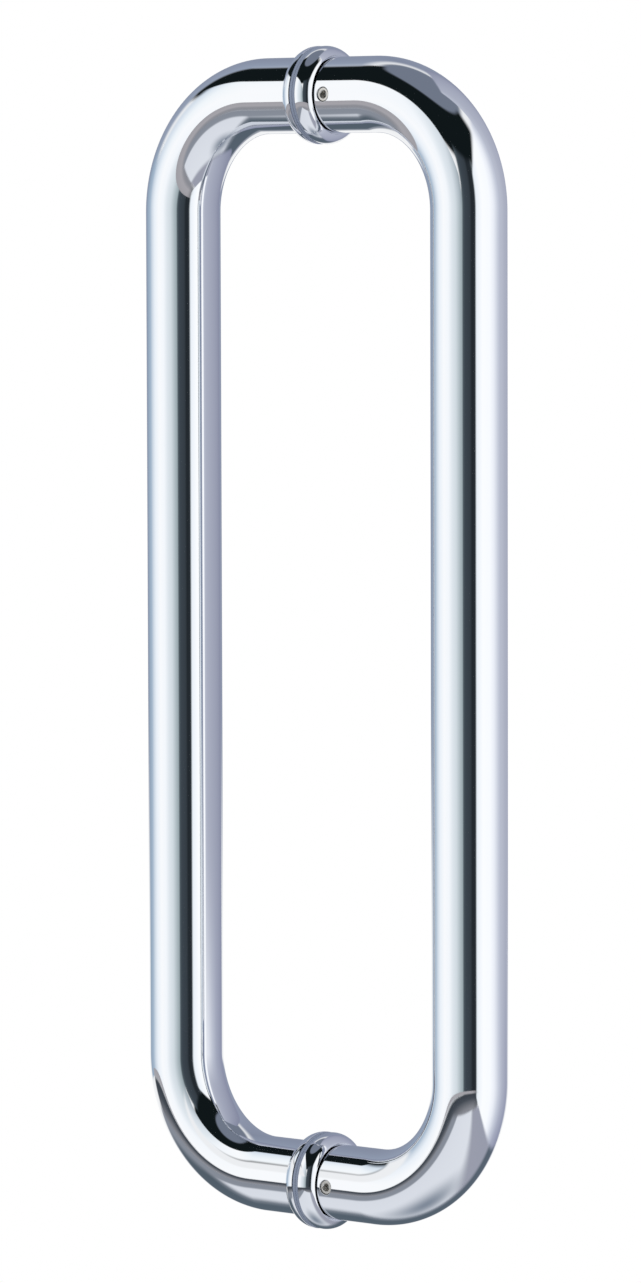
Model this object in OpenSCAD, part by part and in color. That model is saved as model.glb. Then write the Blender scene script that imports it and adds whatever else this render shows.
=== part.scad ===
// Back-to-back door pull: two D-shaped handles of bent round tube, held together through their legs.
// X runs through the door, with the outside handle at -X and the inside handle at +X.
// Z runs up along the grips. The origin is midway between the two fixings, in the middle of the door.

/* [Grip tube] */
// Outside diameter of the tube
tube_d = 31.75; // [25:0.05:40]
// Wall thickness of the tube
tube_wall = 1.5; // [1:0.1:2.5]
// Distance between the top and bottom fixings, centre to centre
fixing_centres = 457; // [250:1:1200]
// Radius of each bend, measured on the tube's centreline
bend_radius = 48.5; // [40:0.5:80]
// Straight length of each leg, from its end to the start of the bend
leg_length = 26; // [25:0.5:80]

/* [Door] */
// Thickness of the door leaf between the gaskets, 0 where the pair is closed up on itself
door_t = 0; // [0:0.5:20]

/* [Gaskets] */
// Thickness of each gasket
gasket_t = 1.5; // [0.5:0.1:3]
// How far the gasket's edge stays inside the collar's rim
gasket_inset = 0.2; // [0:0.05:1]

/* [Collars] */
// How far the collar's rim stands out past the tube
collar_step = 4.6; // [3:0.1:5]
// Height of the collar from its base to its mouth, along the leg
collar_depth = 6.4; // [6:0.1:10]
// Thickness of the web that the leg bears on
collar_web = 2; // [1:0.1:3]
// Straight band at the rim, before the outside curves in
rim_band = 0.4; // [0.3:0.1:1]
// Bevel on the rim's sharp edge, next to the gasket
rim_bevel = 0.2; // [0.1:0.05:0.25]
// Gap between the tube and the lip at the collar's mouth, seen as a shadow line
mouth_gap = 0.6; // [0.3:0.05:1]
// How deep that gap goes
mouth_gap_depth = 2; // [1:0.1:2.5]
// Width of the lip round the mouth
mouth_lip = 0.25; // [0.2:0.05:0.5]

/* [Plugs] */
// Length of the turned plug inside each leg end
plug_length = 22; // [20:0.5:24]
// Bevel at the plug's inner end
plug_bevel = 1; // [0.5:0.1:2]

/* [Studs and sleeves] */
// Diameter of the through stud
stud_d = 10; // [8:0.5:12]
// How deep the stud is screwed into the outside plug
stud_grip = 16; // [12:0.5:20]
// How far the stud runs on past the groove that its set screw holds
stud_tail = 3; // [2:0.1:4]
// Bevel at each end of the stud
stud_bevel = 1; // [0.5:0.1:1.5]
// Diameter of the stud at the bottom of its groove
groove_d = 6.8; // [5:0.1:7]
// Outside diameter of the sleeve in the door's hole
sleeve_d = 14; // [13.5:0.1:16]

/* [Set screws] */
// Diameter of the set screw
screw_d = 6; // [4:0.5:8]
// Distance from the collar's mouth to the set screw's centreline
screw_offset = 5; // [4:0.1:6]
// How far the set screw's head lies below the tube's surface
screw_recess = 0.5; // [0:0.05:1]
// Diameter of the flat on the cone's point
point_d = 1.5; // [0.5:0.1:2.5]
// Size of the hexagon socket, across flats
socket_af = 3; // [1.5:0.5:3.5]
// Depth of the hexagon socket
socket_depth = 3; // [1.5:0.1:4]

/* [Fits] */
// Space all round between metal parts that slide together
metal_fit = 0.05; // [0.02:0.01:0.1]
// Space all round between a sleeve or screw and the hole that it passes through
free_fit = 0.1; // [0.05:0.05:0.2]

/* [Hidden] */

OUTSIDE = -1;
INSIDE = 1;
TOP = 1;
BOTTOM = -1;
$fn = 96;
// How far a cutting shape runs past the face that it cuts through
cut = 1;

tube_r = tube_d / 2;
bore_r = tube_r - tube_wall;
stud_r = stud_d / 2;
groove_r = groove_d / 2;
sleeve_r = sleeve_d / 2;
screw_r = screw_d / 2;
point_r = point_d / 2;

// Distances from the middle of the door to the gasket, to the collar's base and to the leg's end
gasket_x = door_t / 2;
collar_x = gasket_x + gasket_t;
leg_x = collar_x + collar_web;
// Centres of the bends, centreline of the grip and centreline of the set screws
bend_x = leg_x + leg_length;
grip_x = bend_x + bend_radius;
bend_z = fixing_centres / 2 - bend_radius;
screw_x = collar_x + collar_depth + screw_offset;

// The outside of the collar is an arc that starts along the leg's axis at the rim and ends at the lip
collar_r = tube_r + collar_step;
lip_r = tube_r + mouth_gap + mouth_lip;
dome_rise = collar_depth - rim_band;
dome_run = collar_r - lip_r;
dome_r = (dome_rise * dome_rise + dome_run * dome_run) / (2 * dome_run);

through_r = sleeve_r + free_fit;
screw_head = tube_r - screw_recess;
screw_tip = groove_r + metal_fit;
// The groove's flanks match the cone's point, with the same space all round
groove_floor = point_r + metal_fit;
groove_half = groove_floor + stud_r - groove_r;
stud_start = -leg_x - stud_grip;
stud_end = screw_x + groove_half + stud_tail;

// Places a shape drawn upwards from the ground on a leg's axis, at a distance from the middle of the door
module on_leg(side, level, distance) {
    translate([side * distance, 0, level * fixing_centres / 2])
        rotate([0, side * 90, 0])
            children();
}

// Mirrors a shape made for the inside handle when it is wanted on the outside one
module on_side(side) {
    mirror([side == OUTSIDE ? 1 : 0, 0, 0])
        children();
}

// The handle's whole run as a round bar, with legs that start at a distance from the middle of the door
module bent_bar(r, start) {
    translate([grip_x, 0, -bend_z])
        cylinder(r = r, h = 2 * bend_z);
    for (level = [TOP, BOTTOM])
        mirror([0, 0, level == BOTTOM ? 1 : 0]) {
            on_leg(INSIDE, TOP, start)
                cylinder(r = r, h = bend_x - start);
            translate([bend_x, 0, bend_z])
                rotate([90, 0, 0])
                    rotate_extrude(angle = 90)
                        translate([bend_radius, 0])
                            circle(r = r);
        }
}

module handle_tube(side) {
    on_side(side)
        difference() {
            bent_bar(tube_r, leg_x);
            bent_bar(bore_r, leg_x - cut);
            if (side == INSIDE)
                for (level = [TOP, BOTTOM])
                    screw_hole(level, screw_r + free_fit);
        }
}

// A hole from the leg's axis out through the side that faces -Y
module screw_hole(level, r) {
    translate([screw_x, 0, level * fixing_centres / 2])
        rotate([90, 0, 0])
            cylinder(r = r, h = tube_r + cut);
}

// A plug turned from round bar and bored through for the stud
module plug(side, level) {
    r = bore_r - metal_fit;
    on_leg(side, level, leg_x)
        rotate_extrude()
            polygon([
                [stud_r + metal_fit, 0],
                [r, 0],
                [r, plug_length - plug_bevel],
                [r - plug_bevel, plug_length],
                [stud_r + metal_fit, plug_length]
            ]);
}

// The inside handle's plugs are also drilled across and tapped for the set screw
module inside_plug(level) {
    difference() {
        plug(INSIDE, level);
        screw_hole(level, screw_r + metal_fit);
    }
}

// Half section of the collar: radius to the right, height along the leg upwards
module collar_section() {
    difference() {
        union() {
            polygon([
                [0, 0],
                [collar_r - rim_bevel, 0],
                [collar_r, rim_bevel],
                [collar_r, rim_band],
                [0, rim_band]
            ]);
            translate([0, rim_band])
                square([lip_r, dome_rise]);
            intersection() {
                translate([collar_r - dome_r, rim_band])
                    circle(r = dome_r, $fn = 180);
                translate([tube_r, rim_band])
                    square([collar_step + cut, dome_rise]);
            }
        }
        translate([0, -cut])
            square([through_r, collar_web + 2 * cut]);
        translate([0, collar_web])
            square([tube_r + metal_fit, collar_depth]);
        translate([0, collar_depth - mouth_gap_depth])
            square([tube_r + mouth_gap, mouth_gap_depth + cut]);
    }
}

module collar(side, level) {
    on_leg(side, level, collar_x)
        rotate_extrude()
            collar_section();
}

module gasket(side, level) {
    on_leg(side, level, gasket_x)
        difference() {
            cylinder(r = collar_r - gasket_inset, h = gasket_t);
            translate([0, 0, -cut])
                cylinder(r = through_r, h = gasket_t + 2 * cut);
        }
}

// The stud's groove lies under the inside leg's set screw, whose cone draws the handle in
module stud(level) {
    on_leg(INSIDE, level, 0)
        rotate_extrude()
            polygon([
                [0, stud_start],
                [stud_r - stud_bevel, stud_start],
                [stud_r, stud_start + stud_bevel],
                [stud_r, screw_x - groove_half],
                [groove_r, screw_x - groove_floor],
                [groove_r, screw_x + groove_floor],
                [stud_r, screw_x + groove_half],
                [stud_r, stud_end - stud_bevel],
                [stud_r - stud_bevel, stud_end],
                [0, stud_end]
            ]);
}

module sleeve(level) {
    on_leg(INSIDE, level, metal_fit - leg_x)
        difference() {
            cylinder(r = sleeve_r, h = 2 * (leg_x - metal_fit));
            translate([0, 0, -cut])
                cylinder(r = stud_r + metal_fit, h = 2 * (leg_x + cut));
        }
}

module set_screw(level) {
    translate([screw_x, 0, level * fixing_centres / 2])
        rotate([90, 0, 0])
            difference() {
                rotate_extrude()
                    polygon([
                        [0, screw_tip],
                        [point_r, screw_tip],
                        [screw_r, screw_tip + screw_r - point_r],
                        [screw_r, screw_head],
                        [0, screw_head]
                    ]);
                translate([0, 0, screw_head - socket_depth])
                    cylinder(d = socket_af / cos(30), h = socket_depth + cut, $fn = 6);
            }
}

module outside_handle_tube() {
    color("silver")
        handle_tube(OUTSIDE);
}

module inside_handle_tube() {
    color("silver")
        handle_tube(INSIDE);
}

module outside_top_plug() {
    color("darkgray")
        plug(OUTSIDE, TOP);
}

module outside_bottom_plug() {
    color("darkgray")
        plug(OUTSIDE, BOTTOM);
}

module inside_top_plug() {
    color("darkgray")
        inside_plug(TOP);
}

module inside_bottom_plug() {
    color("darkgray")
        inside_plug(BOTTOM);
}

module outside_top_collar() {
    color("gainsboro")
        collar(OUTSIDE, TOP);
}

module outside_bottom_collar() {
    color("gainsboro")
        collar(OUTSIDE, BOTTOM);
}

module inside_top_collar() {
    color("gainsboro")
        collar(INSIDE, TOP);
}

module inside_bottom_collar() {
    color("gainsboro")
        collar(INSIDE, BOTTOM);
}

module outside_top_gasket() {
    color("lightslategray")
        gasket(OUTSIDE, TOP);
}

module outside_bottom_gasket() {
    color("lightslategray")
        gasket(OUTSIDE, BOTTOM);
}

module inside_top_gasket() {
    color("lightslategray")
        gasket(INSIDE, TOP);
}

module inside_bottom_gasket() {
    color("lightslategray")
        gasket(INSIDE, BOTTOM);
}

module top_stud() {
    color("gray")
        stud(TOP);
}

module bottom_stud() {
    color("gray")
        stud(BOTTOM);
}

module top_sleeve() {
    color("white")
        sleeve(TOP);
}

module bottom_sleeve() {
    color("white")
        sleeve(BOTTOM);
}

module top_set_screw() {
    color("dimgray")
        set_screw(TOP);
}

module bottom_set_screw() {
    color("dimgray")
        set_screw(BOTTOM);
}

outside_handle_tube();
inside_handle_tube();
outside_top_plug();
outside_bottom_plug();
inside_top_plug();
inside_bottom_plug();
outside_top_collar();
outside_bottom_collar();
inside_top_collar();
inside_bottom_collar();
outside_top_gasket();
outside_bottom_gasket();
inside_top_gasket();
inside_bottom_gasket();
top_stud();
bottom_stud();
top_sleeve();
bottom_sleeve();
top_set_screw();
bottom_set_screw();
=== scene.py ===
"""Dresses a back-to-back tubular door pull: bent tubes, collars, gaskets, fixings, studio and camera."""

import math

import bpy
from mathutils import Matrix, Vector


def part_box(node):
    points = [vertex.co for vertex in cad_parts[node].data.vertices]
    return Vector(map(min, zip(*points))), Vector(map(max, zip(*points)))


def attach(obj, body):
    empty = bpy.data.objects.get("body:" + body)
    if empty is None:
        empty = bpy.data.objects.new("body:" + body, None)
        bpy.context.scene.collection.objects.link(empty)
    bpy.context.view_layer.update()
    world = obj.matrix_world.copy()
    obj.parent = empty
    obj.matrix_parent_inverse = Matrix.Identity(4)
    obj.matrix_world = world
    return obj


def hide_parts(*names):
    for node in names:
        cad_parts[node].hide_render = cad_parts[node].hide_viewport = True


bl_info = {
    "name": "Tubular Door Pull",
    "version": (1, 0, 0),
    "blender": (4, 5, 0),
    "location": "3D View > Sidebar > Door Pull",
    "description": "Finishes a back-to-back pair of bent-tube pull handles and sets up its studio",
    "category": "Object",
}

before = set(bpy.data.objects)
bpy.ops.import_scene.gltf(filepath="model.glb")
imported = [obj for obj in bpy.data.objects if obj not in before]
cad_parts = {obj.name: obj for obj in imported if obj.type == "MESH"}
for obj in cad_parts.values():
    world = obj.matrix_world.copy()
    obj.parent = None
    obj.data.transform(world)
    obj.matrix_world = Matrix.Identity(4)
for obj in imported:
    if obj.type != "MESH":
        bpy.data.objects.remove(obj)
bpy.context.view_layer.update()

BODY = "root"
# Two corners closer than this, in metres, are one
SAME_PLACE = 1e-7
# The photograph's height in pixels, along which Blender lays the sensor's longer side
IMAGE_HEIGHT = 1283
SENSOR_MM = 36.0

SIDES = {"outside": -1, "inside": 1}
LEVELS = {"top": 1, "bottom": -1}

# Sizes that the frame's own boxes give, in metres
TUBE_LOW, TUBE_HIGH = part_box("inside_handle_tube")
COLLAR_LOW, COLLAR_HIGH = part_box("inside_top_collar")
GASKET_LOW, GASKET_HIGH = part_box("inside_top_gasket")
STUD_LOW, STUD_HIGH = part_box("top_stud")
SLEEVE_LOW, SLEEVE_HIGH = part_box("top_sleeve")
SCREW_LOW, SCREW_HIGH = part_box("top_set_screw")
LEG_START = TUBE_LOW.x
FIXING_Z = (COLLAR_LOW.z + COLLAR_HIGH.z) / 2
TUBE_RADIUS = TUBE_HIGH.z - FIXING_Z
GRIP_X = TUBE_HIGH.x - TUBE_RADIUS
COLLAR_RADIUS = COLLAR_HIGH.z - FIXING_Z
GASKET_RADIUS = FIXING_Z - GASKET_LOW.z
STUD_RADIUS = FIXING_Z - STUD_LOW.z
SLEEVE_RADIUS = FIXING_Z - SLEEVE_LOW.z
SCREW_RADIUS = FIXING_Z - SCREW_LOW.z
SCREW_X = SCREW_HIGH.x - SCREW_RADIUS


def linear(hex_colour):
    """Turns an sRGB hex colour into the linear values that Blender's sockets take."""
    parts = [int(hex_colour[i : i + 2], 16) / 255 for i in (1, 3, 5)]
    return tuple(c / 12.92 if c <= 0.04045 else ((c + 0.055) / 1.055) ** 2.4 for c in parts)


def add(tree, kind, values=None, links=None, **settings):
    """Adds a node with its settings, socket values and links, and returns its output sockets."""
    node = tree.nodes.new(kind)
    for name, value in settings.items():
        setattr(node, name, value)
    for socket, value in (values or {}).items():
        node.inputs[socket].default_value = value
    for socket, source in (links or {}).items():
        tree.links.new(source, node.inputs[socket])
    return node.outputs


def per_mm(size_mm):
    """Scale of a pattern whose features are this far apart, for coordinates in metres."""
    return 1000 / size_mm


def new_material(name):
    """Returns an empty material and its node tree."""
    material = bpy.data.materials.new(name)
    material.use_nodes = True
    material.node_tree.nodes.clear()
    return material, material.node_tree


class Skin:
    """A closed surface put together face by face. Corners join where their places agree."""

    def __init__(self):
        self.places = []
        self.found = {}
        self.faces = []
        self.normals = []
        self.uvs = []

    def corner(self, place):
        """Number of the corner at this place, which is made if it is new."""
        key = tuple(round(c / SAME_PLACE) for c in place)
        if key not in self.found:
            self.found[key] = len(self.places)
            self.places.append(place)
        return self.found[key]

    def face(self, corners):
        """Adds a face. Each corner is (place, normal, uv), and the face turns the way that its normals point."""
        kept = []
        for place, normal, uv in corners:
            number = self.corner(place)
            if all(number != other[0] for other in kept):
                kept.append((number, place, normal, uv))
        if len(kept) < 3:
            return
        a, b, c = (Vector(kept[i][1]) for i in range(3))
        if (b - a).cross(c - a).dot(Vector(kept[0][2])) < 0:
            kept.reverse()
        self.faces.append([corner[0] for corner in kept])
        self.normals.extend(corner[2] for corner in kept)
        self.uvs.extend(corner[3] for corner in kept)

    def grid(self, rows, skip=None):
        """Fills between neighbouring rows of corners, apart from the cells that skip(row, column) names."""
        for j in range(len(rows) - 1):
            for i in range(len(rows[j]) - 1):
                if skip and skip(j, i):
                    continue
                self.face((rows[j][i], rows[j][i + 1], rows[j + 1][i + 1], rows[j + 1][i]))

    def piece(self, name, material, slot, *nodes):
        """Makes the object, with its exact normals, and lets it stand for its CAD nodes."""
        mesh = bpy.data.meshes.new(name)
        mesh.from_pydata(self.places, [], self.faces)
        layer = mesh.uv_layers.new(name="UVMap")
        layer.data.foreach_set("uv", [c for uv in self.uvs for c in uv])
        mesh.polygons.foreach_set("use_smooth", [True] * len(mesh.polygons))
        mesh.normals_split_custom_set(self.normals)
        return settle(name, mesh, material, nodes)


def settle(name, mesh, material, nodes):
    """Puts a finished mesh in the scene as a piece that rides on the body and stands for CAD nodes."""
    mesh.materials.append(material)
    made = bpy.data.objects.new(name, mesh)
    bpy.context.scene.collection.objects.link(made)
    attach(made, BODY)
    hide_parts(*nodes)
    return made


def dress(name, material):
    """Gives a CAD node a material in place of its packed one."""
    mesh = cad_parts[name].data
    mesh.materials.clear()
    mesh.materials.append(material)


def spread(start, end, steps):
    """Evenly spaced values from start to end, both included."""
    return [start + (end - start) * i / steps for i in range(steps + 1)]


def rounded(corners, steps=5):
    """Closed outline with each corner, given as (along, out, rounding), turned into an arc."""
    outline = []
    for i, (along, out, rounding) in enumerate(corners):
        here = Vector((along, out))
        back = (Vector(corners[i - 1][:2]) - here).normalized()
        on = (Vector(corners[(i + 1) % len(corners)][:2]) - here).normalized()
        if rounding == 0:
            outline.append(here)
            continue
        half = back.angle(on) / 2
        centre = here + (back + on).normalized() * rounding / math.sin(half)
        first = here + back * rounding / math.tan(half) - centre
        last = here + on * rounding / math.tan(half) - centre
        turn = first.angle_signed(last)
        for k in range(steps + 1):
            angle = -turn * k / steps
            outline.append(centre + Matrix.Rotation(angle, 2) @ first)
    return outline


def lathe(name, outline, side, level, material, node, steps=160):
    """Turns a closed outline of (distance from the door's middle, radius) round a leg's axis."""
    places = []
    for k in range(steps):
        angle = math.tau * k / steps
        for along, radius in outline:
            places.append((
                side * along, -radius * math.cos(angle), level * FIXING_Z + radius * math.sin(angle)))
    count = len(outline)
    faces = []
    for k in range(steps):
        here, after = k * count, (k + 1) % steps * count
        for i in range(count):
            j = (i + 1) % count
            faces.append((here + i, here + j, after + j, after + i))
    # an outline that runs clockwise, or a mirrored side, turns the faces inside out
    area = sum(outline[i - 1][0] * outline[i][1] - outline[i][0] * outline[i - 1][1] for i in range(count))
    if area * side > 0:
        faces = [tuple(reversed(face)) for face in faces]
    mesh = bpy.data.meshes.new(name)
    mesh.from_pydata(places, [], faces)
    mesh.polygons.foreach_set("use_smooth", [True] * len(mesh.polygons))
    mesh.set_sharp_from_angle(angle=math.radians(40))
    return settle(name, mesh, material, (node,))


class PullSizes(bpy.types.PropertyGroup):
    """Sizes that the frame's boxes don't give."""

    bend_radius: bpy.props.FloatProperty(
        name="Bend radius", description="Radius of each bend on the tube's centreline",
        default=0.0485, min=0.04, max=0.08, unit="LENGTH")
    tube_wall: bpy.props.FloatProperty(
        name="Tube wall", description="Wall thickness of the tube", default=0.0015, min=0.001, max=0.0025,
        unit="LENGTH")
    screw_clearance: bpy.props.FloatProperty(
        name="Screw clearance", description="Space all round between the set screw and the tube's hole",
        default=0.0001, min=0.00005, max=0.0002, unit="LENGTH")
    hole_rounding: bpy.props.FloatProperty(
        name="Hole rounding", description="Rounding that buffing leaves on the edge of the screw's hole",
        default=0.0002, min=0.0001, max=0.0005, unit="LENGTH")
    collar_web: bpy.props.FloatProperty(
        name="Collar web", description="Thickness of the web that the leg bears on", default=0.002,
        min=0.001, max=0.003, unit="LENGTH")
    rim_band: bpy.props.FloatProperty(
        name="Rim band", description="Straight band at the collar's rim", default=0.0004, min=0.0003,
        max=0.001, unit="LENGTH")
    rim_bevel: bpy.props.FloatProperty(
        name="Rim bevel", description="Bevel on the rim's edge, next to the gasket", default=0.0002,
        min=0.0001, max=0.00025, unit="LENGTH")
    mouth_gap: bpy.props.FloatProperty(
        name="Mouth gap", description="Gap between the tube and the lip at the collar's mouth",
        default=0.0006, min=0.0003, max=0.001, unit="LENGTH")
    mouth_gap_depth: bpy.props.FloatProperty(
        name="Mouth gap depth", description="How deep that gap goes", default=0.002, min=0.001, max=0.0025,
        unit="LENGTH")
    mouth_lip: bpy.props.FloatProperty(
        name="Mouth lip", description="Width of the lip round the mouth", default=0.00025, min=0.0002,
        max=0.0005, unit="LENGTH")
    metal_fit: bpy.props.FloatProperty(
        name="Metal fit", description="Space all round between metal parts that slide together",
        default=0.00005, min=0.00002, max=0.0001, unit="LENGTH")
    gasket_rounding: bpy.props.FloatProperty(
        name="Gasket rounding", description="Rounding of the gasket's outer edges", default=0.0004,
        min=0.0001, max=0.0007, unit="LENGTH")
    screw_pitch: bpy.props.FloatProperty(
        name="Screw pitch", description="Pitch of the set screw's thread", default=0.001, min=0.0005,
        max=0.00125, unit="LENGTH")
    screw_point: bpy.props.FloatProperty(
        name="Screw point", description="Diameter of the flat on the cone's point", default=0.0015,
        min=0.0005, max=0.0025, unit="LENGTH")
    socket_across: bpy.props.FloatProperty(
        name="Socket", description="Hexagon socket, across its flats", default=0.003, min=0.0015, max=0.0035,
        unit="LENGTH")
    socket_depth: bpy.props.FloatProperty(
        name="Socket depth", description="Depth of the hexagon socket", default=0.003, min=0.0015, max=0.004,
        unit="LENGTH")
    stud_pitch: bpy.props.FloatProperty(
        name="Stud pitch", description="Pitch of the stud's thread", default=0.0015, min=0.001, max=0.00175,
        unit="LENGTH")
    groove_width: bpy.props.FloatProperty(
        name="Groove", description="Diameter of the stud at the bottom of its groove", default=0.0068,
        min=0.005, max=0.007, unit="LENGTH")


def colour_choice(name, description, hex_colour):
    """A colour that a user can change, which starts from an sRGB hex value."""
    return bpy.props.FloatVectorProperty(
        name=name, description=description, subtype="COLOR", size=3, min=0, max=1, default=linear(hex_colour))


def share_choice(name, description, default):
    """A share from 0 to 1 that a user can change."""
    return bpy.props.FloatProperty(
        name=name, description=description, subtype="FACTOR", min=0, max=1, default=default)


class PullFinish(bpy.types.PropertyGroup):
    """Colours and roughness of the finishes."""

    polished_colour: colour_choice("Polished metal", "Colour of the tubes and collars", "#ECEEF1")
    tube_roughness: share_choice("Tube roughness", "Roughness of the tube where it is buffed best", 0.025)
    collar_roughness: share_choice("Collar roughness", "Roughness of the plated collars", 0.02)
    turned_colour: colour_choice("Turned steel", "Colour of the plugs and studs", "#A9ABAE")
    screw_colour: colour_choice("Set screw", "Colour of the set screws", "#DCDBD8")
    gasket_colour: colour_choice("Gasket", "Colour of the gaskets", "#8792A8")
    sleeve_colour: colour_choice("Sleeve", "Colour of the sleeves", "#EDEDE6")


class PullStudio(bpy.types.PropertyGroup):
    """Camera and light."""

    azimuth: bpy.props.FloatProperty(
        name="Azimuth", description="Where the camera stands, turned from -Y towards +X", subtype="ANGLE",
        default=math.radians(40.05))
    elevation: bpy.props.FloatProperty(
        name="Elevation", description="How far above level the camera stands", subtype="ANGLE",
        default=math.radians(3.80))
    distance: bpy.props.FloatProperty(
        name="Distance", description="From the camera to the middle of the pull", default=2.692, min=1,
        unit="LENGTH")
    focal_pixels: bpy.props.FloatProperty(
        name="Focal length", description="Focal length in pixels of the photograph", default=6406, min=100)
    floor_drop: bpy.props.FloatProperty(
        name="Floor", description="How far below the middle of the pull the floor lies", default=0.95,
        min=0.3, unit="LENGTH")
    floor_colour: colour_choice("Floor", "Colour of the floor", "#F4F4F4")
    fill: share_choice("Fill", "Light that comes evenly from all round", 0.8)
    lamp_watts: bpy.props.FloatProperty(
        name="Lamp", description="Power of the soft lamp", default=12, min=0, subtype="POWER")


def mirror_polished_stainless(finish):
    """Stainless tube, drawn, bent and buffed to a mirror. Reflections are sharp. Buffing leaves a faint haze
    in streaks along the tube, and drawing and bending leave long shallow waves that bend them slightly."""
    material, tree = new_material("mirror_polished_stainless")
    place = add(tree, "ShaderNodeTexCoord")
    # Streaks 25 mm long and 0.7 mm apart. Real ones are some 0.05 mm apart, too fine to show.
    along = add(tree, "ShaderNodeMapping", {"Scale": (per_mm(25), per_mm(0.7), 1)}, {"Vector": place["UV"]})
    streaks = add(tree, "ShaderNodeTexNoise", {"Scale": 1, "Detail": 3, "Roughness": 0.6},
                  {"Vector": along["Vector"]})
    # The buff bears harder in some places than in others, over about 40 mm
    patches = add(tree, "ShaderNodeTexNoise", {"Scale": per_mm(40), "Detail": 1}, {"Vector": place["Object"]})
    haze = add(tree, "ShaderNodeMath", links={0: streaks["Fac"], 1: patches["Fac"]}, operation="MULTIPLY")
    roughness = add(tree, "ShaderNodeMapRange", {
        "From Min": 0.15, "From Max": 0.45, "To Min": finish.tube_roughness, "To Max": 0.06,
    }, {"Value": haze["Value"]})
    waves = add(tree, "ShaderNodeTexNoise", {"Scale": per_mm(30), "Detail": 0}, {"Vector": place["Object"]})
    # Waves 0.03 mm high
    swell = add(tree, "ShaderNodeBump", {"Strength": 1, "Distance": 0.00003}, {"Height": waves["Fac"]})
    # Streaks a ten-thousandth of a millimetre deep
    relief = add(tree, "ShaderNodeBump", {"Strength": 1, "Distance": 0.0000001},
                 {"Height": streaks["Fac"], "Normal": swell["Normal"]})
    shader = add(tree, "ShaderNodeBsdfPrincipled", {
        "Base Color": (*finish.polished_colour, 1), "Metallic": 1.0,
    }, {"Roughness": roughness["Result"], "Normal": relief["Normal"]})
    add(tree, "ShaderNodeOutputMaterial", links={"Surface": shader["BSDF"]})
    return material


def turning_rings(tree, spacing_mm):
    """Height of the rings that a lathe tool leaves round a leg's axis, on faces and round the sides alike."""
    place = add(tree, "ShaderNodeTexCoord")
    parts = add(tree, "ShaderNodeSeparateXYZ", links={"Vector": place["Object"]})
    level = add(tree, "ShaderNodeMath", links={0: parts["Z"]}, operation="ABSOLUTE")
    rise = add(tree, "ShaderNodeMath", {1: FIXING_Z}, {0: level["Value"]}, operation="SUBTRACT")
    across = add(tree, "ShaderNodeCombineXYZ", links={"Y": parts["Y"], "Z": rise["Value"]})
    radius = add(tree, "ShaderNodeVectorMath", links={0: across["Vector"]}, operation="LENGTH")
    path = add(tree, "ShaderNodeMath", links={0: radius["Value"], 1: parts["X"]}, operation="ADD")
    rings = add(tree, "ShaderNodeTexNoise", {"Scale": per_mm(spacing_mm), "Detail": 2, "Roughness": 0.6},
                {"W": path["Value"]}, noise_dimensions="1D")
    return place, rings["Fac"]


def chrome_plated_turned_brass(finish):
    """Collar turned from brass bar, polished and chromium plated. The plating is the brightest and bluest metal
    here, and fine rings from the lathe still show through it where light grazes the dish."""
    material, tree = new_material("chrome_plated_turned_brass")
    # Rings 0.4 mm apart. The tool's real feed of about 0.1 mm is too fine to show.
    place, rings = turning_rings(tree, 0.4)
    relief = add(tree, "ShaderNodeBump", {"Strength": 1, "Distance": 0.0000004}, {"Height": rings})
    clouds = add(tree, "ShaderNodeTexNoise", {"Scale": per_mm(7), "Detail": 2}, {"Vector": place["Object"]})
    roughness = add(tree, "ShaderNodeMapRange", {
        "From Min": 0.3, "From Max": 0.7, "To Min": finish.collar_roughness, "To Max": 0.05,
    }, {"Value": clouds["Fac"]})
    shader = add(tree, "ShaderNodeBsdfPrincipled", {
        "Base Color": (*finish.polished_colour, 1), "Metallic": 1.0,
    }, {"Roughness": roughness["Result"], "Normal": relief["Normal"]})
    add(tree, "ShaderNodeOutputMaterial", links={"Surface": shader["BSDF"]})
    return material


def turned_zinc_plated_steel(finish):
    """Plugs and studs turned from steel bar and zinc plated. Even rings from the tool catch the light as a
    satin sheen, and the plating's colour drifts slightly from grey to straw."""
    material, tree = new_material("turned_zinc_plated_steel")
    # Rings 0.3 mm apart, about twice the tool's real feed
    place, rings = turning_rings(tree, 0.3)
    relief = add(tree, "ShaderNodeBump", {"Strength": 1, "Distance": 0.000006}, {"Height": rings})
    clouds = add(tree, "ShaderNodeTexNoise", {"Scale": per_mm(5), "Detail": 3}, {"Vector": place["Object"]})
    colour = add(tree, "ShaderNodeMix", {"A": (*finish.turned_colour, 1), "B": (*linear("#B3ADA0"), 1)},
                 {"Factor": clouds["Fac"]}, data_type="RGBA")
    roughness = add(tree, "ShaderNodeMapRange", {"To Min": 0.24, "To Max": 0.42}, {"Value": rings})
    shader = add(tree, "ShaderNodeBsdfPrincipled", {"Metallic": 1.0}, {
        "Base Color": colour["Result"], "Roughness": roughness["Result"], "Normal": relief["Normal"]})
    add(tree, "ShaderNodeOutputMaterial", links={"Surface": shader["BSDF"]})
    return material


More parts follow.
